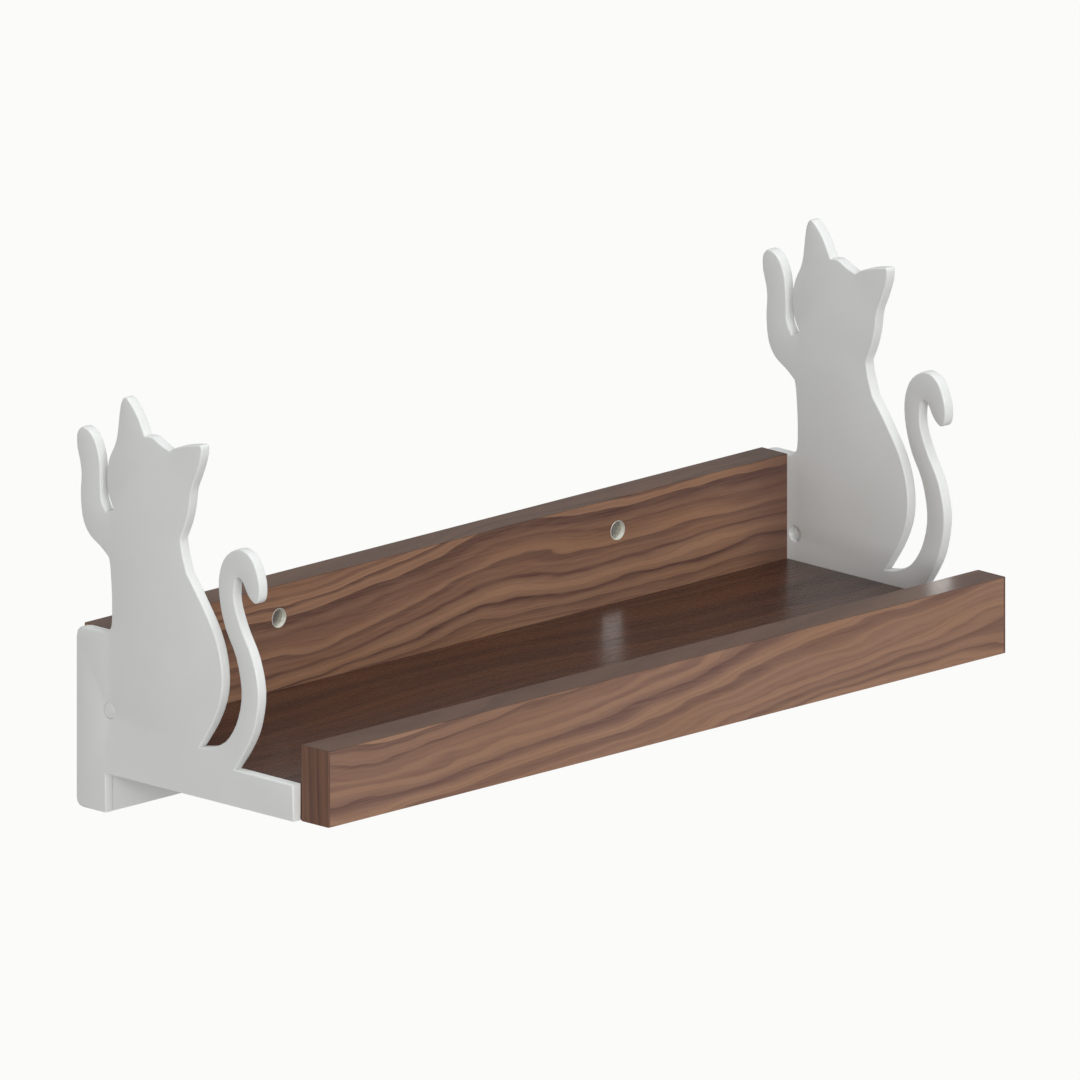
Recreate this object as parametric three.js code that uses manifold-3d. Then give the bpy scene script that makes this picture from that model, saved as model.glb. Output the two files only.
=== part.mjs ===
import * as THREE from "three";
import { mergeVertices } from "three/addons/utils/BufferGeometryUtils.js";
import Module from "manifold-3d";

// A wall ledge: a walnut tray between two white cat-shaped side panels.
// Millimetres. X runs along the wall, -Y points into the room and +Z is up.
// The origin is on the back of the rail, midway between its two wall-screw holes.

const wasm = await Module();
wasm.setup();

// The boards, which all run from the left panel to the right one.
const boardLength = 400;
const railThickness = 15;
const railHeight = 61.25;
const shelfThickness = 16;
const shelfFront = 128; // from the wall to the shelf's front edge
const lipThickness = 16;
const lipHeight = 33;
const lipDrop = 0.5; // how far the lip hangs below the shelf's underside
const bandThickness = 1; // the veneer band on each end of the lip
const cleatThickness = 17;
const cleatHeight = 17;

// The side panels.
const panelThickness = 5;
const legDepth = 17; // flush with the cleat
const topCornerRadius = 5;
const footCornerRadius = 4;
const plugForward = 19.5; // the round plug's place in the panel
const plugHeight = 27.5;
const plugRadius = 3.2;
const plugDepth = 2.5; // from the panel's outer face; the rest of the hole stays open

// The two wall-screw holes in the rail. Each is lined by a plastic cup, and a steel cap hides the screw.
const holeSpacing = 200;
const holeHeight = 47; // above the shelf's underside
const cupRadius = 4.2;
const cupBore = 3.9;
const cupFloor = 5; // thickness of the cup's floor, at the back
const screwClearance = 2.3;
const capRadius = 3.85;
const capThickness = 1.5;
const capRecess = 2; // from the rail's front face to the cap's

// Joinery.
const dowelRadius = 3;
const dowelSlack = 0.3; // glue gap round and beyond each dowel
const dowelInPanel = 3;
const dowelInBoard = 17;
const lipDowelHalf = 10; // length of a lip dowel on each side of the joint
const screwHeadRadius = 3.6;
const screwHeadDepth = 2.6;
const screwShankRadius = 1.75;
const screwTip = 4;
const screwSlack = 0.3;
const railScrewLength = 40;
const cleatScrewLength = 40;

const half = boardLength / 2;
const roundSides = 24;
const screwSides = 20;

const walnut = new THREE.MeshStandardMaterial({ color: 0x7a5844, roughness: 0.42, metalness: 0 });
const whiteLacquer = new THREE.MeshStandardMaterial({ color: 0xe4e6e2, roughness: 0.45, metalness: 0 });
const whitePlastic = new THREE.MeshStandardMaterial({ color: 0xdadcd6, roughness: 0.38, metalness: 0 });
const beech = new THREE.MeshStandardMaterial({ color: 0xc9a577, roughness: 0.7, metalness: 0 });
const zincSteel = new THREE.MeshStandardMaterial({ color: 0xb4b2a8, roughness: 0.35, metalness: 1 });

// A closed geometry as a manifold solid, and the other way round.
function toSolid(geometry) {
  const bare = geometry.clone();
  bare.deleteAttribute("normal");
  bare.deleteAttribute("uv");
  const merged = mergeVertices(bare, 1e-4);
  return new wasm.Manifold(
    new wasm.Mesh({
      numProp: 3,
      vertProperties: merged.attributes.position.array,
      triVerts: new Uint32Array(merged.index.array),
    }),
  );
}

function toGeometry(solid) {
  const mesh = solid.getMesh();
  const geometry = new THREE.BufferGeometry();
  geometry.setAttribute("position", new THREE.BufferAttribute(mesh.vertProperties, 3));
  geometry.setIndex(new THREE.BufferAttribute(mesh.triVerts, 1));
  geometry.computeVertexNormals();
  return geometry;
}

function cut(geometry, tools) {
  let solid = toSolid(geometry);
  for (const tool of tools) {
    solid = solid.subtract(toSolid(tool));
  }
  return toGeometry(solid);
}

// A box between two corners.
function board(low, high) {
  const size = high.map((end, axis) => end - low[axis]);
  const middle = high.map((end, axis) => (end + low[axis]) / 2);
  return new THREE.BoxGeometry(...size).translate(...middle);
}

// A round bar from one end point along a direction.
function bar(radius, length, start, direction) {
  const geometry = new THREE.CylinderGeometry(radius, radius, length, roundSides);
  return lay(geometry.translate(0, length / 2, 0), start, direction);
}

// Turns a geometry made along +Y to run along a direction from a start point.
function lay(geometry, start, direction) {
  const turn = new THREE.Quaternion().setFromUnitVectors(
    new THREE.Vector3(0, 1, 0),
    new THREE.Vector3(...direction),
  );
  return geometry.applyQuaternion(turn).translate(...start);
}

// A countersunk screw along +Y: its head's flat face is at the start point.
function countersunk(length, start, direction, slack = 0) {
  const head = screwHeadRadius + slack;
  const shank = screwShankRadius + slack;
  const profile = [
    new THREE.Vector2(0, 0),
    new THREE.Vector2(head, 0),
    new THREE.Vector2(shank, screwHeadDepth + slack),
    new THREE.Vector2(shank, length - screwTip + slack),
    new THREE.Vector2(0, length + slack),
  ];
  return lay(new THREE.LatheGeometry(profile, screwSides), start, direction);
}

// The cat panel's outline: forward of the wall, then height above the shelf's underside.
// Each run is a smooth curve through its points, and the runs meet at the cat's corners.
const catRuns = [
  [[16.7, 61.25], [19.6, 62.9], [20.7, 66.5], [20.8, 77], [19.9, 89.5], [19, 93.8]],
  [[19, 93.8], [14.7, 97.2], [7.7, 101.6], [3.7, 108], [2.4, 118], [2.8, 128.5], [0.4, 138]],
  [[0.4, 138], [0.4, 144.2], [4, 147.5], [9.6, 144.8], [13.4, 137], [14.3, 127], [14.7, 118.5],
    [17.5, 113.2]],
  [[17.5, 113.2], [19.8, 114], [21.7, 115.3]],
  [[21.7, 115.3], [18.6, 122], [17.9, 129.5], [19.4, 137], [23.5, 145.5], [25.3, 157], [26.2, 161.6],
    [27.6, 164.3], [29.4, 164.9], [31, 163.9], [34, 160.9], [37.4, 156.3], [40.3, 150.3]],
  [[40.3, 150.3], [44.7, 150.6], [50, 148.3], [54.9, 146.5]],
  [[54.9, 146.5], [58.9, 148.8], [65, 150.8], [71.5, 152.2], [73.3, 152.3], [74, 151], [73.4, 146.1],
    [70.8, 139], [67.8, 132.1], [66.8, 125], [64.8, 117.5], [61.4, 109.8]],
  [[61.4, 109.8], [62.6, 103.5], [65.3, 95.4]],
  [[65.3, 95.4], [72.6, 86], [81.4, 72.7], [85.7, 60], [85.8, 47], [81, 34.5], [72.4, 21.8]],
  [[72.4, 21.8], [80.5, 23.4], [88.5, 27.7], [94.8, 37.3], [97.4, 50], [94.3, 64.5], [88, 76], [84.5, 87.5],
    [84.1, 98], [87.8, 107], [96, 111.9], [103.5, 109.2], [107.7, 101], [108.4, 95.5],
    [107.9, 92.2], [106.6, 90.4], [104.9, 90]],
  [[104.9, 90], [102.7, 91.4], [100.6, 93.7], [97.8, 98.3], [94.7, 99.1], [93.3, 94.5], [93.7, 87],
    [98, 76.8], [104.4, 65.5], [107.8, 51], [105.2, 35.7], [99.6, 24.8], [93, 16]],
];

function catShape() {
  const shape = new THREE.Shape();
  shape.moveTo(legDepth, 0);
  shape.lineTo(legDepth, -cleatHeight);
  shape.lineTo(footCornerRadius, -cleatHeight);
  shape.quadraticCurveTo(0, -cleatHeight, 0, footCornerRadius - cleatHeight);
  shape.lineTo(0, railHeight - topCornerRadius);
  shape.quadraticCurveTo(0, railHeight, topCornerRadius, railHeight);
  for (const run of catRuns) {
    const [start, ...rest] = run.map(([forward, height]) => new THREE.Vector2(forward, height));
    if (!shape.currentPoint.equals(start)) {
      shape.lineTo(start.x, start.y);
    }
    shape.splineThru(rest);
  }
  shape.lineTo(shelfFront, shelfThickness);
  shape.lineTo(shelfFront, 0);
  return shape;
}

// The panel stands across the wall, its thickness running outwards from the given X.
function catPanel(innerX, side) {
  const flat = new THREE.ExtrudeGeometry(catShape(), {
    depth: panelThickness,
    bevelEnabled: false,
    curveSegments: 3,
  });
  // Forward runs along -Y, height along +Z and the thickness along -X.
  const stand = new THREE.Matrix4().set(0, 0, -1, 0, -1, 0, 0, 0, 0, 1, 0, 0, 0, 0, 0, 1);
  const geometry = flat.applyMatrix4(stand);
  geometry.translate(side > 0 ? innerX + panelThickness : innerX, 0, 0);
  const holes = panelDowels.map(([forward, height]) =>
    bar(dowelRadius + dowelSlack, 2 * (dowelInPanel + dowelSlack), [
      innerX - side * (dowelInPanel + dowelSlack), -forward, height,
    ], [side, 0, 0]));
  const plugHole = bar(plugRadius + dowelSlack, 3 * panelThickness, [
    innerX - side * panelThickness, -plugForward, plugHeight,
  ], [side, 0, 0]);
  return cut(geometry, [...holes, plugHole]);
}

// Dowels between a panel and the boards: name, then forward of the wall and height.
const panelDowelNames = ["rail_low", "rail_high", "shelf_rear", "shelf_front", "cleat"];
const panelDowels = [
  [railThickness / 2, 26],
  [railThickness / 2, 50],
  [40, shelfThickness / 2],
  [112, shelfThickness / 2],
  [cleatThickness / 2, -cleatHeight / 2],
];
const lipDowelPlaces = [-150, 0, 150];
const railScrewPlaces = [-160, 0, 160];
const cleatScrewPlaces = [-130, -45, 45, 130];

// Blind holes for the panel dowels in the ends of a board.
function endHoles(places) {
  return places.flatMap(([forward, height]) => [-1, 1].map((side) =>
    bar(dowelRadius + dowelSlack, 2 * (dowelInBoard + dowelSlack), [
      side * (half + dowelInBoard + dowelSlack), -forward, height,
    ], [-side, 0, 0])));
}

const lipDowelHoles = lipDowelPlaces.map((x) =>
  bar(dowelRadius + dowelSlack, 2 * (lipDowelHalf + dowelSlack), [
    x, lipDowelHalf + dowelSlack - shelfFront, shelfThickness / 2,
  ], [0, -1, 0]));
const railScrewHoles = railScrewPlaces.map((x) =>
  countersunk(railScrewLength, [x, 0, shelfThickness / 2], [0, -1, 0], screwSlack));
const cleatScrewHoles = cleatScrewPlaces.map((x) =>
  countersunk(cleatScrewLength, [x, -cleatThickness / 2, -cleatHeight], [0, 0, 1], screwSlack));
const wallScrewHoles = [-1, 1].map((side) =>
  bar(cupRadius + screwSlack / 2, 3 * railThickness, [
    side * holeSpacing / 2, railThickness, holeHeight,
  ], [0, -1, 0]));

function backRail() {
  const blank = board([-half, -railThickness, 0], [half, 0, railHeight]);
  return cut(blank, [
    ...endHoles(panelDowels.slice(0, 2)), ...railScrewHoles, ...cleatScrewHoles, ...wallScrewHoles,
  ]);
}

function shelfBoard() {
  const blank = board([-half, -shelfFront, 0], [half, -railThickness, shelfThickness]);
  return cut(blank, [...endHoles(panelDowels.slice(2, 4)), ...railScrewHoles, ...lipDowelHoles]);
}

function frontLip() {
  const end = half - bandThickness;
  const front = shelfFront + lipThickness;
  const blank = board([-end, -front, -lipDrop], [end, -shelfFront, lipHeight - lipDrop]);
  return cut(blank, lipDowelHoles);
}

function lipBand(side) {
  const ends = [side * half, side * (half - bandThickness)].sort((a, b) => a - b);
  const front = shelfFront + lipThickness;
  return board([ends[0], -front, -lipDrop], [ends[1], -shelfFront, lipHeight - lipDrop]);
}

function supportCleat() {
  const blank = board([-half, -cleatThickness, -cleatHeight], [half, 0, 0]);
  return cut(blank, [...endHoles(panelDowels.slice(4)), ...cleatScrewHoles]);
}

// The cup that lines a wall-screw hole: open at the front, with a floor that a screw passes through.
function screwCup(side) {
  const profile = [
    new THREE.Vector2(screwClearance, 0),
    new THREE.Vector2(cupRadius, 0),
    new THREE.Vector2(cupRadius, railThickness),
    new THREE.Vector2(cupBore, railThickness),
    new THREE.Vector2(cupBore, cupFloor),
    new THREE.Vector2(screwClearance, cupFloor),
    new THREE.Vector2(screwClearance, 0),
  ];
  const place = [side * holeSpacing / 2, 0, holeHeight];
  return lay(new THREE.LatheGeometry(profile, roundSides), place, [0, -1, 0]);
}

const ledge = new THREE.Group();
ledge.position.z = -holeHeight; // the pieces are drawn from the shelf's underside up

function place(name, geometry, material) {
  const mesh = new THREE.Mesh(geometry, material);
  mesh.name = name;
  ledge.add(mesh);
}

place("back_rail", backRail(), walnut);
place("shelf_board", shelfBoard(), walnut);
place("front_lip", frontLip(), walnut);
place("support_cleat", supportCleat(), whiteLacquer);

for (const [sideName, side] of [["left", -1], ["right", 1]]) {
  const innerX = side * half;
  place(`cat_panel_${sideName}`, catPanel(innerX, side), whiteLacquer);
  place(`panel_plug_${sideName}`, bar(plugRadius, plugDepth, [
    innerX + side * panelThickness, -plugForward, plugHeight,
  ], [-side, 0, 0]), whitePlastic);
  place(`lip_end_band_${sideName}`, lipBand(side), walnut);
  place(`screw_cup_${sideName}`, screwCup(side), whitePlastic);
  place(`screw_cap_${sideName}`, bar(capRadius, capThickness, [
    side * holeSpacing / 2, capRecess - railThickness, holeHeight,
  ], [0, 1, 0]), zincSteel);
  panelDowels.forEach(([forward, height], i) => {
    const length = dowelInPanel + dowelInBoard;
    const start = [innerX + side * dowelInPanel, -forward, height];
    place(`${panelDowelNames[i]}_dowel_${sideName}`, bar(dowelRadius, length, start, [-side, 0, 0]), beech);
  });
}

lipDowelPlaces.forEach((x, i) => {
  const start = [x, lipDowelHalf - shelfFront, shelfThickness / 2];
  place(`lip_dowel_${i + 1}`, bar(dowelRadius, 2 * lipDowelHalf, start, [0, -1, 0]), beech);
});
railScrewPlaces.forEach((x, i) => {
  const start = [x, 0, shelfThickness / 2];
  place(`rail_screw_${i + 1}`, countersunk(railScrewLength, start, [0, -1, 0]), zincSteel);
});
cleatScrewPlaces.forEach((x, i) => {
  const start = [x, -cleatThickness / 2, -cleatHeight];
  place(`cleat_screw_${i + 1}`, countersunk(cleatScrewLength, start, [0, 0, 1]), zincSteel);
});

const part = new THREE.Group();
part.add(ledge);

export default part;
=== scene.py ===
import math

import bmesh
import bpy
import numpy as np
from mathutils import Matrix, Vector
from mathutils.geometry import delaunay_2d_cdt


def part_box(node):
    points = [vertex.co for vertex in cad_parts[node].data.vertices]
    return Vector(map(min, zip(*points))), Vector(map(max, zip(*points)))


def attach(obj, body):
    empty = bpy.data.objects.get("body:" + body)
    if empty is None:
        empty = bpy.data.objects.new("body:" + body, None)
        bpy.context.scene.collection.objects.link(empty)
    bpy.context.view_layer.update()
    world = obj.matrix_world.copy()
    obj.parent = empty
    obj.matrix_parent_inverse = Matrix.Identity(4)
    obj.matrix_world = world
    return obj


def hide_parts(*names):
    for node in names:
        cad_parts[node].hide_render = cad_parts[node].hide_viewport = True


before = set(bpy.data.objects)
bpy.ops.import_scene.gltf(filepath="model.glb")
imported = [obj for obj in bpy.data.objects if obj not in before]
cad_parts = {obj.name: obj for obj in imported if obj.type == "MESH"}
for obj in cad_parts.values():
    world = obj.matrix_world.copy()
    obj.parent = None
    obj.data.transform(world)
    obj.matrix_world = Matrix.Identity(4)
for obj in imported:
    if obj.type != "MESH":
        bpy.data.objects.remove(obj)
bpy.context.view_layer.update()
mm = 0.001
sides = ("left", "right")
mergeDistance = 1e-6  # metres; corners closer than this are one corner
tiny = 1e-9


# A CAD node's box: its lowest corner, highest corner, middle and size.
def boxOf(node):
    low, high = [np.array(corner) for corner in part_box(node)]
    return low, high, (low + high) / 2, high - low


# A piece from points and faces. Seams and poles are joined, and the faces are turned outwards.
def newPiece(name, points, faces, material, node, smoothAngle):
    mesh = bpy.data.meshes.new(name)
    mesh.from_pydata(points.tolist(), [], faces)
    build = bmesh.new()
    build.from_mesh(mesh)
    bmesh.ops.remove_doubles(build, verts=build.verts, dist=mergeDistance)
    bmesh.ops.recalc_face_normals(build, faces=build.faces)
    loose = [edge for edge in build.edges if not edge.is_manifold]
    print(name, len(build.faces), "faces", len(loose), "open edges")
    build.to_mesh(mesh)
    build.free()
    finishPiece(name, mesh, material, node, smoothAngle)


# Gives a mesh its material, smooth shading and body, and hides the CAD node it stands for.
def finishPiece(name, mesh, material, node, smoothAngle):
    mesh.materials.append(material)
    piece = bpy.data.objects.new(name, mesh)
    bpy.context.collection.objects.link(piece)
    mesh.shade_smooth()
    mesh.set_sharp_from_angle(angle=math.radians(smoothAngle))
    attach(piece, "root")
    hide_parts(node)
    return piece


# Faces of a grid of points, rows by columns, numbered from start. Each row closes on itself.
def gridFaces(rows, columns, start=0):
    r, c = np.meshgrid(np.arange(rows - 1), np.arange(columns), indexing="ij")
    n = (c + 1) % columns
    quads = np.stack([r * columns + c, r * columns + n, (r + 1) * columns + n, (r + 1) * columns + c], -1)
    return (quads.reshape(-1, 4) + start).tolist()


# Faces that close the first and last rows of a grid of points.
def endFaces(rows, columns):
    return [list(range(columns))[::-1], list(range((rows - 1) * columns, rows * columns))]


# A merged copy of a CAD node's mesh. Faces that meet at less than flatAngle degrees are joined up.
def mergedCopy(node, flatAngle=0.5):
    build = bmesh.new()
    build.from_mesh(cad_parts[node].data)
    bmesh.ops.remove_doubles(build, verts=build.verts, dist=mergeDistance)
    bmesh.ops.dissolve_limit(build, angle_limit=math.radians(flatAngle), verts=build.verts, edges=build.edges)
    return build


boardLook = {"steps": 3, "sharpFrom": 40, "smoothAngle": 35}


# A board with eased edges: the node's own shape, then a small rounding along each sharp edge.
def easedBoard(node, material, ease):
    build = mergedCopy(node)
    mesh = bpy.data.meshes.new(node + "_eased")
    build.to_mesh(mesh)
    build.free()
    piece = finishPiece(node + "_eased", mesh, material, node, boardLook["smoothAngle"])
    bevel = piece.modifiers.new("easedEdges", "BEVEL")
    bevel.width = ease
    bevel.segments = boardLook["steps"]
    bevel.limit_method = "ANGLE"
    bevel.angle_limit = math.radians(boardLook["sharpFrom"])
    bevel.harden_normals = True


# A surface of revolution. Profile point i and angle a give the point
# base + height[i] * axis + radius[i] * (cos a * u + sin a * v), where u and v stand square to the axis.
def turned(profile, base, direction, columns):
    profile = np.asarray(profile, float)
    angle = np.linspace(0, 2 * np.pi, columns, endpoint=False)
    axis = np.asarray(direction, float)
    u = np.cross(axis, [0.3, 0.5, 0.8])  # any direction that isn't the axis
    u /= np.linalg.norm(u)
    v = np.cross(axis, u)
    ring = np.cos(angle)[:, None] * u + np.sin(angle)[:, None] * v
    points = np.asarray(base) + profile[:, 1, None, None] * axis + profile[:, 0, None, None] * ring
    return points.reshape(-1, 3), gridFaces(len(profile), columns)


print("meshes ready")


# Feeds a socket from another socket, or sets it to a number or colour.
def connect(tree, socket, item):
    if isinstance(item, Value):
        tree.links.new(item.socket, socket)
    else:
        socket.default_value = item


# A Math node on sockets or numbers, in the order given.
def mathNode(tree, operation, *items):
    node = tree.nodes.new("ShaderNodeMath")
    node.operation = operation
    for slot, item in zip(node.inputs, items):
        connect(tree, slot, item)
    return Value(tree, node.outputs[0])


# Wraps a socket, so that arithmetic on it adds Math nodes.
class Value:
    def __init__(self, tree, socket):
        self.tree = tree
        self.socket = socket

    def math(self, operation, *others):
        return mathNode(self.tree, operation, self, *others)

    def __add__(self, other):
        return self.math("ADD", other)

    def __mul__(self, other):
        return self.math("MULTIPLY", other)

    def __sub__(self, other):
        return self.math("SUBTRACT", other)

    def __truediv__(self, other):
        return self.math("DIVIDE", other)

    def __pow__(self, other):
        return self.math("POWER", other)

    def __rsub__(self, other):
        return mathNode(self.tree, "SUBTRACT", other, self)

    __radd__ = __add__
    __rmul__ = __mul__


# A material with one Principled shader, and the nodes that feed it.
class Finish:
    def __init__(self, name, surface):
        self.material = bpy.data.materials.new(name)
        self.material.use_nodes = True
        self.tree = self.material.node_tree
        self.tree.nodes.clear()
        self.shader = self.tree.nodes.new("ShaderNodeBsdfPrincipled")
        out = self.tree.nodes.new("ShaderNodeOutputMaterial")
        self.tree.links.new(self.shader.outputs[0], out.inputs["Surface"])
        for socket, number in surface.items():
            self.shader.inputs[socket].default_value = number
        place = self.tree.nodes.new("ShaderNodeTexCoord").outputs["Object"]
        self.place = Value(self.tree, place)

    # Any node: its type, the settings made first, then its sockets by name or number.
    def node(self, kind, settings, sockets, output=0):
        node = self.tree.nodes.new("ShaderNode" + kind)
        for key, setting in settings.items():
            setattr(node, key, setting)
        for key, item in sockets.items():
            connect(self.tree, node.inputs[key], item)
        return Value(self.tree, node.outputs[output])

    # The object's place in millimetres, stretched by a scale for each axis.
    def spread(self, scale, shift=(0, 0, 0)):
        scaled = [s / mm for s in scale]
        return self.node("Mapping", {}, {"Vector": self.place, "Scale": scaled, "Location": shift})

    # Noise from 0 to 1. The scale is in turns for each millimetre.
    def noise(self, scale, detail=2, shift=(0, 0, 0), roughness=0.5):
        return self.node("TexNoise", {}, {
            "Vector": self.spread(scale, shift), "Scale": 1, "Detail": detail, "Roughness": roughness,
        })

    # Noise along one value, from 0 to 1.
    def noiseAlong(self, value, detail=1):
        return self.node("TexNoise", {"noise_dimensions": "1D"}, {"W": value, "Scale": 1, "Detail": detail})

    # The x, y and z distances in millimetres.
    def axes(self):
        split = self.tree.nodes.new("ShaderNodeSeparateXYZ")
        self.tree.links.new(self.spread((1, 1, 1)).socket, split.inputs[0])
        return [Value(self.tree, output) for output in split.outputs]

    # 0 below low, 1 above high and a smooth step between them.
    def step(self, value, low, high):
        return self.node("MapRange", {"interpolation_type": "SMOOTHSTEP"}, {
            "Value": value, "From Min": low, "From Max": high, "To Min": 0, "To Max": 1,
        })

    # From the first colour to the second. The Mix node's colours are its inputs 6 and 7, and its output 2.
    def mix(self, amount, first, second):
        first, second = [item if isinstance(item, Value) else (*item, 1) for item in (first, second)]
        return self.node("Mix", {"data_type": "RGBA"}, {0: amount, 6: first, 7: second}, 2)

    def bump(self, height, distance, strength):
        relief = self.node("Bump", {}, {"Height": height, "Distance": distance, "Strength": strength})
        self.feed("Normal", relief)

    def feed(self, socket, item):
        connect(self.tree, self.shader.inputs[socket], item)


# Each way a board's figure can face: the axes along, across and into it, how many turns the broad figure
# makes in a millimetre along x, y and z, and how many the fibres make.
grainFaces = {
    "x": {"axes": (0, 2, 1), "figure": (1 / 150, 1 / 45, 1 / 38), "fibre": (1 / 26, 1.5, 1.5)},
    "flat": {"axes": (0, 1, 2), "figure": (1 / 150, 1 / 38, 1 / 45), "fibre": (1 / 26, 1.5, 1.5)},
    "upright": {"axes": (2, 1, 0), "figure": (1 / 45, 1 / 45, 1 / 150), "fibre": (1.5, 1.5, 1 / 26)},
}
# What all the walnut shares. Each range is where a smooth step begins and ends.
grainLook = {
    "slant": 0.45, "wobbleFiner": 3.2, "bandEdge": (0.4, 0.6),
    "patchFiner": 1.8, "patchShift": (3.1, 8.2, 5.7), "patchEdge": (0.4, 0.75), "patchShare": 0.45,
    "ringDrift": 23, "ringDriftBy": 3, "ringSeed": 7.3, "ringDark": (0.45, 0.97), "ringEnd": (0.965, 1.0),
    "rareStep": 1.37, "rareSeed": 0.5, "rareEdge": (0.35, 0.68), "rareShare": 0.7, "thinShare": 0.33,
    "thinDrift": 6, "thinDriftBy": 3.4, "thinSeed": 2.1, "thinDark": (0.5, 0.95), "thinEnd": (0.95, 1.0),
    "fibreRough": 0.62, "fibreEdge": (0.3, 0.72), "fibreShare": 0.32,
    "poreFiner": 2.6, "poreEdge": (0.60, 0.72), "poreShare": 0.35,
    "topStart": 0.3, "topFull": 0.1, "endShadeWide": 45, "fibreGloss": 0.14, "poreGloss": 0.1,
    "fibreHeight": 0.5, "poreDepth": 0.6, "lineDepth": 0.2, "bumpDepth": 0.12 * mm, "bumpStrength": 0.5,
}


# Walnut: growth lines run along a board and drift slowly across it.
# level = across + slant * deep - slope * along - swell + drift + wobble, with
# swell = height * e ^ -((along - swellAt) / swellWidth) ^ 2. A ring is the part of level / ringWidth past its
# last whole number: it darkens slowly, then ends sharply.
def walnut(name, look):
    finish = Finish(name, {"IOR": 1.5, "Specular IOR Level": look["shine"]})
    shared, face, shift = grainLook, grainFaces[look["face"]], look["shift"]
    place = finish.axes()
    along, across, deep = [place[number] for number in face["axes"]]
    figure = face["figure"]

    drift = (finish.noise(figure, 1, shift) - 0.5) * look["drift"]
    wobble = finish.noise([s * shared["wobbleFiner"] for s in figure], 2, shift) - 0.5
    hill = ((along - look["swellAt"]) / look["swellWidth"]) ** 2 * -1
    swell = hill.math("EXPONENT") * look["swellHeight"]
    level = across + deep * shared["slant"] - along * look["slope"] - swell + drift + wobble * look["wobble"]

    # the part of a value past its last whole number, as a slow darkening and a sharp end
    def growthLine(phase, dark, end):
        part = phase.math("FRACT")
        return finish.step(part, *dark) * (1 - finish.step(part, *end))

    broad = finish.noiseAlong(level / look["bandWidth"] + look["bandShift"], 2)
    phase = level / look["ringWidth"] + (
        finish.noiseAlong(level / shared["ringDrift"] + shared["ringSeed"]) * shared["ringDriftBy"])
    ring = growthLine(phase, shared["ringDark"], shared["ringEnd"])
    ringNumber = phase.math("FLOOR")
    rare = finish.noiseAlong(ringNumber * shared["rareStep"] + shared["rareSeed"], 0)
    rare = finish.step(rare, *shared["rareEdge"])
    thinPhase = level / (look["ringWidth"] * shared["thinShare"]) + (
        finish.noiseAlong(level / shared["thinDrift"] + shared["thinSeed"]) * shared["thinDriftBy"])
    thin = growthLine(thinPhase, shared["thinDark"], shared["thinEnd"])
    ringShare = rare * shared["rareShare"] + (1 - shared["rareShare"])  # some rings are fainter than others
    lines = ((ring * ringShare + thin * look["thin"]) * look["lines"]).math("MINIMUM", 1)

    fibre = finish.noise(face["fibre"], 4, shift, shared["fibreRough"])
    pores = finish.noise([s * shared["poreFiner"] for s in face["fibre"]], 2, shift)
    pores = finish.step(pores, *shared["poreEdge"])
    patch = finish.noise([s * shared["patchFiner"] for s in figure], 2, shared["patchShift"])

    ground = finish.mix(finish.step(broad, *shared["bandEdge"]), look["light"], look["middle"])
    ground = finish.mix(finish.step(patch, *shared["patchEdge"]) * shared["patchShare"], ground, look["warm"])
    ground = finish.mix(lines, ground, look["dark"])
    ground = finish.mix(finish.step(fibre, *shared["fibreEdge"]) * shared["fibreShare"], ground, look["pale"])
    ground = finish.mix(pores * shared["poreShare"], ground, look["pore"])
    # Painted shade: the board darkens towards its right end, where it meets the right side panel.
    if "endShadeAt" in look:
        end = finish.step(place[0], look["endShadeAt"], look["endShadeAt"] + shared["endShadeWide"])
        ground = finish.mix(end * look["endShadeShare"], ground, look["dark"])
    # Painted shade: the board's top is darker than its face, as if it took less light.
    if "topAt" in look:
        top = finish.step(place[2], look["topAt"] - shared["topStart"], look["topAt"] - shared["topFull"])
        ground = finish.mix(top * look["topShadeShare"], ground, look["topShadeTone"])
    finish.feed("Base Color", ground)
    roughness = look["gloss"] + (fibre - 0.5) * shared["fibreGloss"] + pores * shared["poreGloss"]
    finish.feed("Roughness", roughness)
    relief = fibre * shared["fibreHeight"] - pores * shared["poreDepth"] - lines * shared["lineDepth"]
    finish.bump(relief, shared["bumpDepth"], shared["bumpStrength"])
    return finish.material
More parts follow.
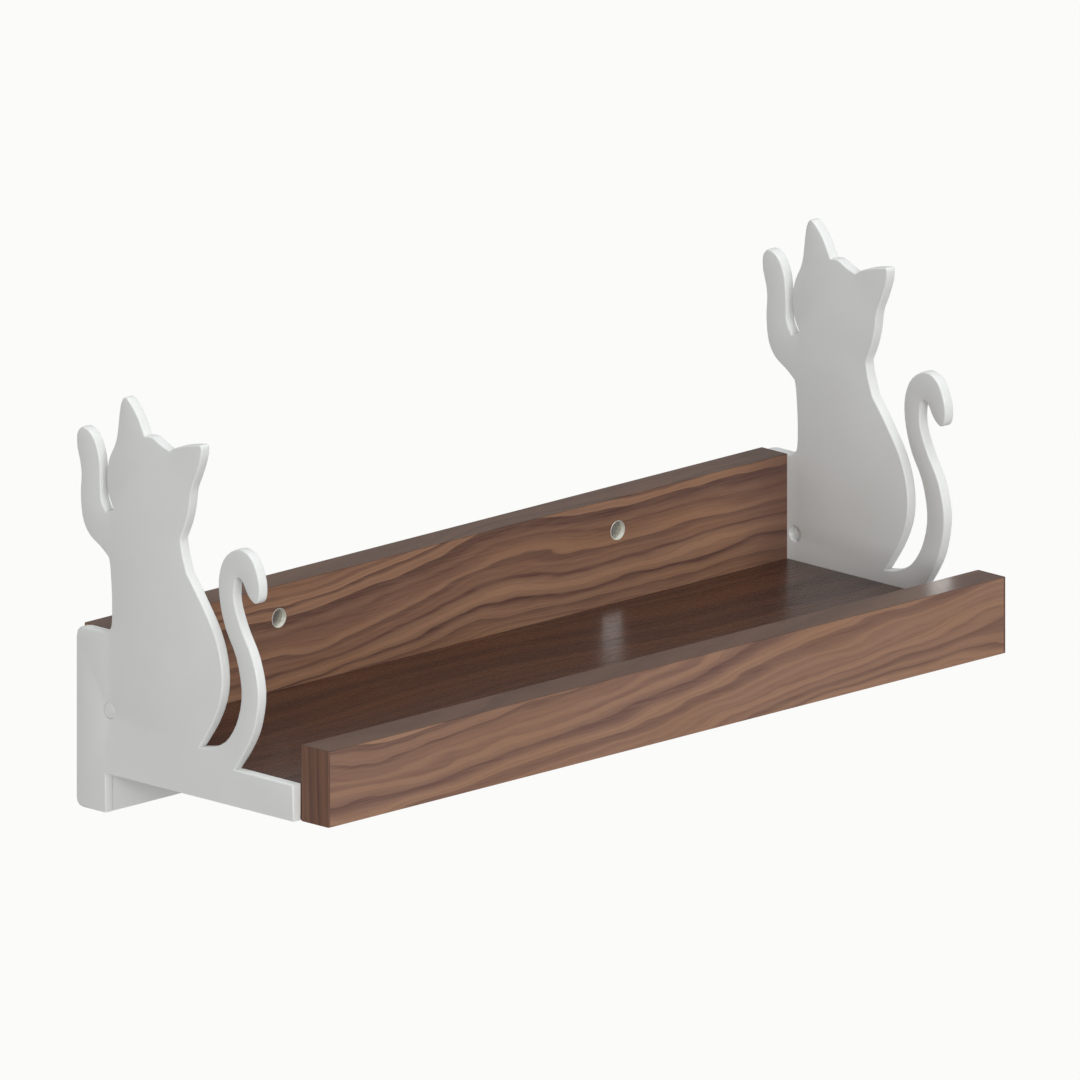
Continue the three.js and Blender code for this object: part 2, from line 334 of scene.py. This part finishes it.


# Lengths are in millimetres, and where the top shade and the rail's end shade begin is measured from the
# row's origin.
# The top of a board is painted darker than its face: painted shade, in place of the dimmer light its top
# takes.
walnutLooks = {
    "railWalnut": {
        "face": "x", "gloss": 0.36, "shine": 0.27, "shift": (1.7, 4.4, 2.9),
        "drift": 22, "wobble": 8, "slope": 0.03, "swellAt": 42, "swellWidth": 62, "swellHeight": 9,
        "bandShift": 3.1, "bandWidth": 8, "ringWidth": 9.5, "lines": 1.0, "thin": 0.3,
        "topAt": 14.25, "topShadeShare": 0.8, "topShadeTone": (0.066, 0.033, 0.021), "endShadeAt": 160, "endShadeShare": 0.55,
        "light": (0.300, 0.163, 0.099), "middle": (0.195, 0.100, 0.066), "warm": (0.27, 0.130, 0.064),
        "dark": (0.085, 0.040, 0.033), "pale": (0.32, 0.188, 0.124), "pore": (0.09, 0.047, 0.033),
    },
    # Painted shade: the shelf's colours are far darker than the rail's and lip's, for the shelf top lying low
    # between rail and lip.
    "shadedShelfWalnut": {
        "face": "flat", "gloss": 0.27, "shine": 0.5, "shift": (6.1, 1.2, 8.3),
        "drift": 26, "wobble": 5, "slope": -0.03, "swellAt": -30, "swellWidth": 90, "swellHeight": 10,
        "bandShift": 6.1, "bandWidth": 13, "ringWidth": 12, "lines": 0.7, "thin": 0.2,
        "light": (0.066, 0.026, 0.015), "middle": (0.034, 0.013, 0.009), "warm": (0.080, 0.025, 0.010),
        "dark": (0.020, 0.008, 0.006), "pale": (0.056, 0.026, 0.016), "pore": (0.020, 0.009, 0.006),
    },
    "lipWalnut": {
        "face": "x", "gloss": 0.36, "shine": 0.27, "shift": (9.4, 2.6, 5.1),
        "drift": 20, "wobble": 9, "slope": 0, "swellAt": 175, "swellWidth": 185, "swellHeight": 32,
        "bandShift": 9.4, "bandWidth": 8, "ringWidth": 12, "lines": 1.0, "thin": 0.26,
        "topAt": -14.5, "topShadeShare": 0.8, "topShadeTone": (0.070, 0.034, 0.021),
        "light": (0.305, 0.171, 0.108), "middle": (0.185, 0.098, 0.073), "warm": (0.27, 0.140, 0.078),
        "dark": (0.092, 0.046, 0.040), "pale": (0.29, 0.172, 0.119), "pore": (0.105, 0.058, 0.043),
    },
    "bandWalnut": {
        "face": "upright", "gloss": 0.4, "shine": 0.4, "shift": (2.2, 7.1, 4.9),
        "drift": 5, "wobble": 1.2, "slope": 0.02, "swellAt": 0, "swellWidth": 90, "swellHeight": 0,
        "bandShift": 2.2, "bandWidth": 7, "ringWidth": 8, "lines": 0.8, "thin": 0.3,
        "topAt": -14.5, "topShadeShare": 0.8, "topShadeTone": (0.070, 0.034, 0.021),
        "light": (0.20, 0.095, 0.055), "middle": (0.105, 0.047, 0.032), "warm": (0.16, 0.068, 0.034),
        "dark": (0.07, 0.031, 0.024), "pale": (0.19, 0.096, 0.062), "pore": (0.07, 0.033, 0.022),
    },
}
walnuts = {name: walnut(name, look) for name, look in walnutLooks.items()}


# White lacquer on board: a faint orange peel, with a little more grey in the broad faces.
# Each pattern is given in turns for each millimetre.
lacquerLook = {"white": (0.735, 0.74, 0.725), "shade": (0.715, 0.72, 0.70), "gloss": 0.42, "glossRange": 0.12,
               "cloud": 1 / 34, "peel": 1 / 2.6, "grit": 1.1, "gritInShade": 0.2, "gritInBump": 0.3,
               "shadeEdge": (0.3, 0.7), "bumpDepth": 0.06 * mm, "bumpStrength": 0.35}


def whiteLacquer():
    look = lacquerLook
    finish = Finish("whiteLacquer", {"IOR": 1.48})
    cloud = finish.noise([look["cloud"]] * 3, 3)
    peel = finish.noise([look["peel"]] * 3, 2, (4, 1, 7))
    grit = finish.noise([look["grit"]] * 3, 1, (2, 9, 3))
    shade = cloud * (1 - look["gritInShade"]) + grit * look["gritInShade"]
    shade = finish.step(shade, *look["shadeEdge"])
    finish.feed("Base Color", finish.mix(shade, look["white"], look["shade"]))
    finish.feed("Roughness", look["gloss"] + (peel - 0.5) * look["glossRange"])
    relief = peel * (1 - look["gritInBump"]) + grit * look["gritInBump"]
    finish.bump(relief, look["bumpDepth"], look["bumpStrength"])
    return finish.material


# Moulded plastic: a fine, even grain with slight sink marks.
plasticLook = {"cloud": 1 / 5, "cloudEdge": (0.35, 0.7), "grain": 3, "glossRange": 0.16,
               "bumpDepth": 0.03 * mm, "bumpStrength": 0.4}
plasticLooks = {
    "cupPlastic": {"colour": (0.66, 0.645, 0.575), "aged": (0.58, 0.565, 0.50), "gloss": 0.4},
    "plugPlastic": {"colour": (0.735, 0.74, 0.725), "aged": (0.70, 0.705, 0.69), "gloss": 0.42},
}


def plastic(name, look):
    shared = plasticLook
    finish = Finish(name, {"IOR": 1.46})
    cloud = finish.noise([shared["cloud"]] * 3, 2)
    grain = finish.noise([shared["grain"]] * 3, 2, (1, 5, 2))
    aged = finish.step(cloud, *shared["cloudEdge"])
    finish.feed("Base Color", finish.mix(aged, look["colour"], look["aged"]))
    finish.feed("Roughness", look["gloss"] + (grain - 0.5) * shared["glossRange"])
    finish.bump(grain, shared["bumpDepth"], shared["bumpStrength"])
    return finish.material


# Bare beech: fine streaks along x, and short darker flecks.
beechLook = {"light": (0.60, 0.40, 0.22), "dark": (0.47, 0.29, 0.15), "fleck": (0.36, 0.2, 0.1),
             "streakScale": (1 / 18, 1.4, 1.4), "streakEdge": (0.3, 0.7),
             "fleckScale": (1 / 1.6, 4, 4), "fleckEdge": (0.62, 0.7), "fleckShare": 0.6,
             "gloss": 0.62, "glossRange": 0.16, "bumpDepth": 0.08 * mm, "bumpStrength": 0.5}


def beech():
    look = beechLook
    finish = Finish("beech", {"IOR": 1.45})
    streak = finish.noise(look["streakScale"], 3)
    fleck = finish.step(finish.noise(look["fleckScale"], 1, (2, 2, 6)), *look["fleckEdge"])
    ground = finish.mix(finish.step(streak, *look["streakEdge"]), look["light"], look["dark"])
    finish.feed("Base Color", finish.mix(fleck * look["fleckShare"], ground, look["fleck"]))
    finish.feed("Roughness", look["gloss"] + streak * look["glossRange"])
    finish.bump(streak, look["bumpDepth"], look["bumpStrength"])
    return finish.material


# Zinc-plated steel: small crystals, some bright and some dull.
steelLook = {"bright": (0.60, 0.585, 0.53), "dull": (0.43, 0.42, 0.40),
             "crystal": 1 / 1.3, "crystalEdge": (0.35, 0.68),
             "gloss": 0.28, "glossRange": 0.2, "bumpDepth": 0.03 * mm, "bumpStrength": 0.3}


def zincSteel():
    look = steelLook
    finish = Finish("zincSteel", {"Metallic": 1.0})
    spangle = finish.noise([look["crystal"]] * 3, 3)
    dull = finish.step(spangle, *look["crystalEdge"])
    finish.feed("Base Color", finish.mix(dull, look["bright"], look["dull"]))
    finish.feed("Roughness", look["gloss"] + spangle * look["glossRange"])
    finish.bump(spangle, look["bumpDepth"], look["bumpStrength"])
    return finish.material


finishes = {"whiteLacquer": whiteLacquer(), "beech": beech(), "zincSteel": zincSteel()}
finishes |= {name: plastic(name, look) for name, look in plasticLooks.items()}
print("materials ready")


# Each flat board: its finish, its material slot and the rounding of its edges.
boards = {
    "back_rail": (walnuts["railWalnut"], "walnut", 0.5 * mm),
    "shelf_board": (walnuts["shadedShelfWalnut"], "walnut", 0.35 * mm),
    "front_lip": (walnuts["lipWalnut"], "walnut", 0.5 * mm),
    "support_cleat": (finishes["whiteLacquer"], "white_lacquer", 0.6 * mm),
    "lip_end_band_left": (walnuts["bandWalnut"], "walnut_band", 0.25 * mm),
    "lip_end_band_right": (walnuts["bandWalnut"], "walnut_band", 0.25 * mm),
}
for node, (finish, slot, ease) in boards.items():
    easedBoard(node, finish, ease)
print("boards ready")


panelLook = {"ease": 0.7 * mm, "holeEase": 0.12 * mm, "easeSteps": 5, "leastCosine": 0.42, "smoothAngle": 50}


# The closed edge loops of a CAD panel on the face at x, each as an array of (forward, height).
def faceLoops(node, x):
    build = mergedCopy(node)
    following = {}
    for face in build.faces:
        onFace = abs(face.normal.x) > 0.99 and abs(face.calc_center_median().x - x) < 0.01 * mm
        if not onFace:
            continue
        for loop in face.loops:
            others = [other for other in loop.edge.link_faces if other is not face]
            if others and abs(others[0].normal.x) < 0.5:  # the other face is part of the panel's edge
                following[loop.vert.index] = loop.link_loop_next.vert.index
    build.verts.ensure_lookup_table()
    loops = []
    while following:
        start, after = following.popitem()
        chain = [start]
        while after != start:
            chain.append(after)
            after = following.pop(after)
        loops.append(np.array([build.verts[i].co[1:] for i in chain]))
    build.free()
    return sorted(loops, key=len, reverse=True)


# The loop moved sideways into the material: each point moves along the mean of its two edges' normals, by
# distance / cos(half the turn between them). A sharp corner's reach has a limit.
def inset(loop, distance):
    edge = np.roll(loop, -1, 0) - loop
    edge /= np.linalg.norm(edge, axis=1)[:, None]
    normal = np.stack([-edge[:, 1], edge[:, 0]], 1)
    mean = normal + np.roll(normal, 1, 0)
    mean /= np.maximum(np.linalg.norm(mean, axis=1)[:, None], tiny)
    reach = 1 / np.clip((mean * normal).sum(1), panelLook["leastCosine"], 1)
    return loop + mean * (distance * reach)[:, None]


# Half the sum of the cross products of neighbouring points: above 0 where the loop runs anticlockwise.
def signedArea(loop):
    ahead = np.roll(loop, -1, 0)
    return 0.5 * (loop[:, 0] * ahead[:, 1] - ahead[:, 0] * loop[:, 1]).sum()


# Triangles that fill the outline less its hole, from the points' numbers along each loop.
def panelFace(points, loops):
    index, edges = [], []
    for loop in loops:
        count = len(loop)
        edges += [(len(index) + i, len(index) + (i + 1) % count) for i in range(count)]
        index += loop
    found = delaunay_2d_cdt([Vector(points[i][1:]) for i in index], edges, [], 2, tiny)
    back = [origin[0] for origin in found[3]]
    # a triangle with all its corners on the plug's hole lies inside that hole
    outlineCount = len(loops[0])
    triangles = [[back[v] for v in triangle] for triangle in found[2]]
    return [[index[v] for v in corners] for corners in triangles if min(corners) < outlineCount]


# A panel's edge is a quarter round from one face, straight across, and a quarter round to the other face.
# With t from 0 to a quarter turn, the edge lies ease * (1 - sin t) inside the outline at the depth
# ease * (1 - cos t), and the other way round at the far face. The faces fill what is left.
def catPanel(side):
    node = "cat_panel_" + side
    low, high, middle, size = boxOf(node)
    outerX = high[0] if side == "right" else low[0]
    t = np.linspace(0, np.pi / 2, panelLook["easeSteps"])
    points, faces, firstLoops, lastLoops, counts = [], [], [], [], 0
    for number, loop in enumerate(faceLoops(node, outerX)):
        # the outline runs anticlockwise and the plug's hole clockwise
        if (signedArea(loop) < 0) == (number == 0):
            loop = loop[::-1]
        ease = panelLook["holeEase"] if number else panelLook["ease"]
        inward = np.concatenate([ease * (1 - np.sin(t)), ease * (1 - np.cos(t))])
        depth = np.concatenate([ease * (1 - np.cos(t)), size[0] - ease * (1 - np.sin(t))])
        rings = [np.column_stack([np.full(len(loop), low[0] + d), inset(loop, i)])
                 for i, d in zip(inward, depth)]
        faces += gridFaces(len(rings), len(loop), counts)
        points += rings
        firstLoops.append(list(range(counts, counts + len(loop))))
        counts += len(rings) * len(loop)
        lastLoops.append(list(range(counts - len(loop), counts)))
    points = np.concatenate(points)
    faces += panelFace(points, firstLoops) + panelFace(points, lastLoops)
    newPiece(node + "_eased", points, faces, finishes["whiteLacquer"], node,
             panelLook["smoothAngle"])


for side in sides:
    catPanel(side)
print("panels ready")


# A round plug with a soft chamfer and a slightly crowned face at each end. It sits a little off centre in
# its hole, and fill is how much wider it is than the CAD's plug.
plugLook = {"crown": 0.05 * mm, "chamfer": 0.15 * mm, "fill": 0.18 * mm, "forward": 0.08 * mm,
            "up": 0.08 * mm, "columns": 48, "smoothAngle": 45}


# A disc's profile. Across each end the height is crown * t ^ 2 at the radius (radius - chamfer) * t.
def crownedEnds(radius, length, crown, chamfer):
    t = np.linspace(0, 1, 7)
    lowEnd = np.column_stack([(radius - chamfer) * t, crown * t ** 2])
    shoulder = crown + chamfer * 0.7  # the chamfer is lower than it is wide
    return np.concatenate([
        lowEnd, [[radius, shoulder], [radius, length - shoulder]],
        np.column_stack([lowEnd[::-1, 0], length - lowEnd[::-1, 1]]),
    ])


for side in sides:
    node = "panel_plug_" + side
    low, high, middle, size = boxOf(node)
    profile = crownedEnds(size[1] / 2 + plugLook["fill"], size[0], plugLook["crown"], plugLook["chamfer"])
    base = [low[0], middle[1] - plugLook["forward"], middle[2] + plugLook["up"]]
    points, faces = turned(profile, base, (1, 0, 0), plugLook["columns"])
    newPiece(node + "_turned", points, faces, finishes["plugPlastic"], node,
             plugLook["smoothAngle"])


# A screw cup: a thin wall with a rounded rim, and a floor with a hole for the wall screw.
cupLook = {"bore": 3.9 * mm, "floor": 5 * mm, "hole": 2.3 * mm, "sink": 1.1 * mm, "fillet": 0.3 * mm,
           "backEase": 0.2 * mm, "columns": 64, "smoothAngle": 40}


# The rim is a half circle as wide as the wall: wall half width * (cos t, sin t), with t over half a turn.
def cupProfile(radius, length):
    look = cupLook
    bore, floor, hole, ease = look["bore"], look["floor"], look["hole"], look["backEase"]
    t = np.linspace(0, np.pi, 9)
    wall = (radius - bore) / 2
    rim = np.column_stack([radius - wall + wall * np.cos(t), length - wall + wall * np.sin(t)])
    return np.concatenate([
        [[hole, 0], [radius - ease, 0], [radius, ease]], rim,
        [[bore, floor + look["fillet"]], [bore - look["fillet"], floor],
         [hole + look["sink"], floor], [hole, floor - look["sink"]], [hole, 0]],
    ])


# The steel cap in each cup is a disc with a soft edge and a slightly crowned face.
capLook = {"crown": 0.06 * mm, "chamfer": 0.2 * mm, "columns": 64, "smoothAngle": 45}
for side in sides:
    node = "screw_cup_" + side
    low, high, middle, size = boxOf(node)
    profile = cupProfile(size[0] / 2, size[1])
    points, faces = turned(profile, [middle[0], high[1], middle[2]], (0, -1, 0), cupLook["columns"])
    newPiece(node + "_turned", points, faces, finishes["cupPlastic"], node,
             cupLook["smoothAngle"])
    node = "screw_cap_" + side
    low, high, middle, size = boxOf(node)
    profile = crownedEnds(size[0] / 2, size[1], capLook["crown"], capLook["chamfer"])
    points, faces = turned(profile, [middle[0], high[1], middle[2]], (0, -1, 0), capLook["columns"])
    newPiece(node + "_turned", points, faces, finishes["zincSteel"], node,
             capLook["smoothAngle"])


# A countersunk wood screw with a cross recess in its head and a helical thread. Lengths run from the top of
# the head. rimDepth, rimEnd and headDepth are where the head's edge begins and ends and where its cone ends.
screwLook = {"rimDepth": 0.15 * mm, "rimEnd": 0.3 * mm, "headDepth": 2.6 * mm, "plain": 9 * mm, "tip": 5 * mm,
             "shank": 1.75 * mm, "core": 1.25 * mm, "pitch": 2.2 * mm, "rowsInPitch": 7,
             "recessWide": 0.75 * mm, "recessLong": 2.2 * mm, "recessDeep": 1.7 * mm,
             "armSlope": 0.25 * mm, "endSlope": 0.9 * mm, "threadFrom": 0.3 * mm, "endGap": 0.05 * mm,
             "crestSlope": 1.9, "leastShare": 0.02, "headRows": 16, "columns": 40, "smoothAngle": 40}


# The head is sunk by recessDeep * inArm * inReach, where inArm falls to 0 across an arm's side and inReach at
# its end. The thread's radius is core + (shank - core) * (crestSlope * (crest - 1) + 1), never below core.
# The crest is 1 where along / pitch less the part of a turn is a whole number, and 0 midway. The tip tapers.
def woodScrew(headRadius, length, base, direction):
    look = screwLook
    angle = np.linspace(0, 2 * np.pi, look["columns"], endpoint=False)
    radii = np.linspace(look["leastShare"], 1, look["headRows"]) * (headRadius - look["rimDepth"])
    r, a = np.meshgrid(radii, angle, indexing="ij")
    x, y = np.abs(r * np.cos(a)), np.abs(r * np.sin(a))
    inArm = np.clip((look["recessWide"] - np.minimum(x, y)) / look["armSlope"], 0, 1)
    inReach = np.clip((look["recessLong"] - np.maximum(x, y)) / look["endSlope"], 0, 1)
    head = np.stack([r, look["recessDeep"] * inArm * inReach], -1)

    cone = np.array([[headRadius, look["rimDepth"]], [headRadius, look["rimEnd"]],
                     [look["shank"], look["headDepth"]], [look["shank"], look["plain"]]])
    cone = np.repeat(cone[:, None, :], look["columns"], 1)

    first, last = look["plain"] + look["threadFrom"], length - look["endGap"]
    heights = np.arange(first, last, look["pitch"] / look["rowsInPitch"])
    along, around = np.meshgrid(heights, angle, indexing="ij")
    crest = np.abs(((along / look["pitch"] - around / (2 * np.pi)) % 1) - 0.5) * 2
    crest = np.clip(look["crestSlope"] * crest - (look["crestSlope"] - 1), 0, 1)
    taper = np.clip((length - along) / look["tip"], look["leastShare"], 1)
    radius = (look["core"] + (look["shank"] - look["core"]) * crest) * taper
    rows = np.concatenate([head, cone, np.stack([radius, along], -1)])

    axis = np.asarray(direction, float)
    u = np.array([1.0, 0, 0])
    ring = np.cos(angle)[:, None] * u + np.sin(angle)[:, None] * np.cross(axis, u)
    points = np.asarray(base) + rows[..., 1, None] * axis + rows[..., 0, None] * ring
    faces = gridFaces(len(rows), look["columns"]) + endFaces(len(rows), look["columns"])
    return points.reshape(-1, 3), faces


for node in [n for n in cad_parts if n.startswith(("rail_screw", "cleat_screw"))]:
    low, high, middle, size = boxOf(node)
    if node.startswith("rail"):
        base, direction, length = [middle[0], high[1], middle[2]], (0, -1, 0), size[1]
    else:
        base, direction, length = [middle[0], middle[1], low[2]], (0, 0, 1), size[2]
    points, faces = woodScrew(size[0] / 2, length, base, direction)
    newPiece(node + "_threaded", points, faces, finishes["zincSteel"], node,
             screwLook["smoothAngle"])


# A fluted dowel with chamfered ends.
dowelLook = {"grooves": 12, "columnsInGroove": 6, "depth": 0.22 * mm, "chamfer": 0.6 * mm, "smoothAngle": 30}


# The radius at an angle is radius - depth * (2 * cos(grooves * angle) - 1), where that is above 0, and
# the grooves end at the chamfers.
def flutedDowel(radius, length, base, axisName):
    look = dowelLook
    columns = look["grooves"] * look["columnsInGroove"]
    angle = np.linspace(0, 2 * np.pi, columns, endpoint=False)
    dip = look["depth"] * np.clip(np.cos(angle * look["grooves"]) * 2 - 1, 0, 1)
    # each row: radius, place along the dowel, and how much of the groove shows
    c = look["chamfer"]
    rows = np.array([[radius - c, 0, 0], [radius, c, 1], [radius, length - c, 1], [radius - c, length, 0]])
    r = rows[:, 0, None] - dip[None, :] * rows[:, 2, None]
    rounded = np.stack([np.repeat(rows[:, 1, None], columns, 1), r * np.cos(angle), r * np.sin(angle)], -1)
    if axisName == "y":
        rounded = rounded[..., [1, 0, 2]] * np.array([-1, 1, 1])
    points = np.asarray(base) + rounded
    faces = gridFaces(len(rows), columns) + endFaces(len(rows), columns)
    return points.reshape(-1, 3), faces


for node in [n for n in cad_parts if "dowel" in n]:
    low, high, middle, size = boxOf(node)
    if size[0] > size[1]:
        axisName, base = "x", [low[0], middle[1], middle[2]]
    else:
        axisName, base = "y", [middle[0], low[1], middle[2]]
    points, faces = flutedDowel(size[2] / 2, max(size), base, axisName)
    newPiece(node + "_fluted", points, faces, finishes["beech"], node, dowelLook["smoothAngle"])
print("fittings ready")


# The floor lies far below the object. It and the sky show as one pale tone.
roomLook = {"floorDrop": 1.2, "floorHalf": 60, "seen": (0.965, 0.965, 0.955), "sky": 0.42,
            "keyStrength": 2.15, "keyFrom": (-0.52, -0.85, 0.08), "keyAngle": 36, "keyColour": (1, 1, 1),
            "topStrength": 1.75, "topFrom": (0, -0.34, 0.94), "topAngle": 50, "topColour": (0.93, 0.98, 1)}
floorFinish = bpy.data.materials.new("paleFloor")
floorFinish.use_nodes = True
floorShader = floorFinish.node_tree.nodes["Principled BSDF"]
floorShader.inputs["Base Color"].default_value = (0, 0, 0, 1)
floorShader.inputs["Roughness"].default_value = 1
floorShader.inputs["Specular IOR Level"].default_value = 0
floorShader.inputs["Emission Color"].default_value = (*roomLook["seen"], 1)
floorShader.inputs["Emission Strength"].default_value = 1
half, floorZ = roomLook["floorHalf"], -roomLook["floorDrop"]
floorCorners = [(-half, -half, floorZ), (half, -half, floorZ), (half, half, floorZ), (-half, half, floorZ)]
floorMesh = bpy.data.meshes.new("paleFloor")
floorMesh.from_pydata(floorCorners, [], [(0, 1, 2, 3)])
floorMesh.materials.append(floorFinish)
floor = bpy.data.objects.new("paleFloor", floorMesh)
bpy.context.collection.objects.link(floor)
floor.visible_diffuse = False
floor.visible_glossy = False

# The sky lights the object softly.
world = bpy.data.worlds.new("softStudio")
bpy.context.scene.world = world
world.use_nodes = True
tree = world.node_tree
tree.nodes.clear()
skyLight = tree.nodes.new("ShaderNodeBackground")
skyLight.inputs["Color"].default_value = (1, 1, 1, 1)
skyLight.inputs["Strength"].default_value = roomLook["sky"]
skySeen = tree.nodes.new("ShaderNodeBackground")
skySeen.inputs["Color"].default_value = (*roomLook["seen"], 1)
chooser = tree.nodes.new("ShaderNodeMixShader")
rays = tree.nodes.new("ShaderNodeLightPath")
worldOut = tree.nodes.new("ShaderNodeOutputWorld")
tree.links.new(rays.outputs["Is Camera Ray"], chooser.inputs[0])
tree.links.new(skyLight.outputs[0], chooser.inputs[1])
tree.links.new(skySeen.outputs[0], chooser.inputs[2])
tree.links.new(chooser.outputs[0], worldOut.inputs[0])

# Two wide, soft suns: one low from the front left, and one from above and a little in front.
for name in ("key", "top"):
    light = bpy.data.lights.new(name + "Light", "SUN")
    light.energy = roomLook[name + "Strength"]
    light.angle = math.radians(roomLook[name + "Angle"])
    light.color = roomLook[name + "Colour"]
    lightObject = bpy.data.objects.new(name + "Light", light)
    lightObject.rotation_mode = "QUATERNION"
    lightObject.rotation_quaternion = Vector(roomLook[name + "From"]).to_track_quat("Z", "Y")
    bpy.context.collection.objects.link(lightObject)

# Two small lights that show only in gloss. One lies on the rail and makes a soft streak on the shelf. The
# other lies on the right side panel and makes a highlight on the lip's top.
glowLooks = {
    "streakLight": {"power": 0.0004, "wide": 11 * mm, "tall": 20 * mm,
                    "place": (96 * mm, -15.6 * mm, -16 * mm), "turn": (-90, 0, 0)},
    "lipGlow": {"power": 0.0016, "wide": 11 * mm, "tall": 12 * mm,
                "place": (199.4 * mm, -106 * mm, -2 * mm), "turn": (0, 90, 0)},
}
for name, look in glowLooks.items():
    glow = bpy.data.lights.new(name, "AREA")
    glow.shape = "RECTANGLE"
    glow.size = look["wide"]
    glow.size_y = look["tall"]
    glow.energy = look["power"]
    glowObject = bpy.data.objects.new(name, glow)
    glowObject.location = look["place"]
    glowObject.rotation_euler = [math.radians(angle) for angle in look["turn"]]
    glowObject.visible_camera = False
    glowObject.visible_diffuse = False
    bpy.context.collection.objects.link(glowObject)

# A parallel view from the front left, a little above the shelf.
cameraLook = {"azimuth": -45, "elevation": 15, "aim": (9 * mm, -60 * mm, 21.6 * mm),
              "width": 451.1 * mm, "away": 1.5, "reach": 100}
camera = bpy.data.cameras.new("studioCamera")
camera.type = "ORTHO"
camera.ortho_scale = cameraLook["width"]
camera.clip_end = cameraLook["reach"]
azimuth, elevation = math.radians(cameraLook["azimuth"]), math.radians(cameraLook["elevation"])
level = math.cos(elevation)
back = Vector((math.sin(azimuth) * level, -math.cos(azimuth) * level, math.sin(elevation)))
cameraObject = bpy.data.objects.new("studioCamera", camera)
cameraObject.location = Vector(cameraLook["aim"]) + back * cameraLook["away"]
cameraObject.rotation_mode = "QUATERNION"
cameraObject.rotation_quaternion = back.to_track_quat("Z", "Y")
bpy.context.collection.objects.link(cameraObject)
bpy.context.scene.camera = cameraObject

bpy.context.scene.view_settings.view_transform = "Standard"
bpy.context.scene.view_settings.look = "None"
print("room ready")
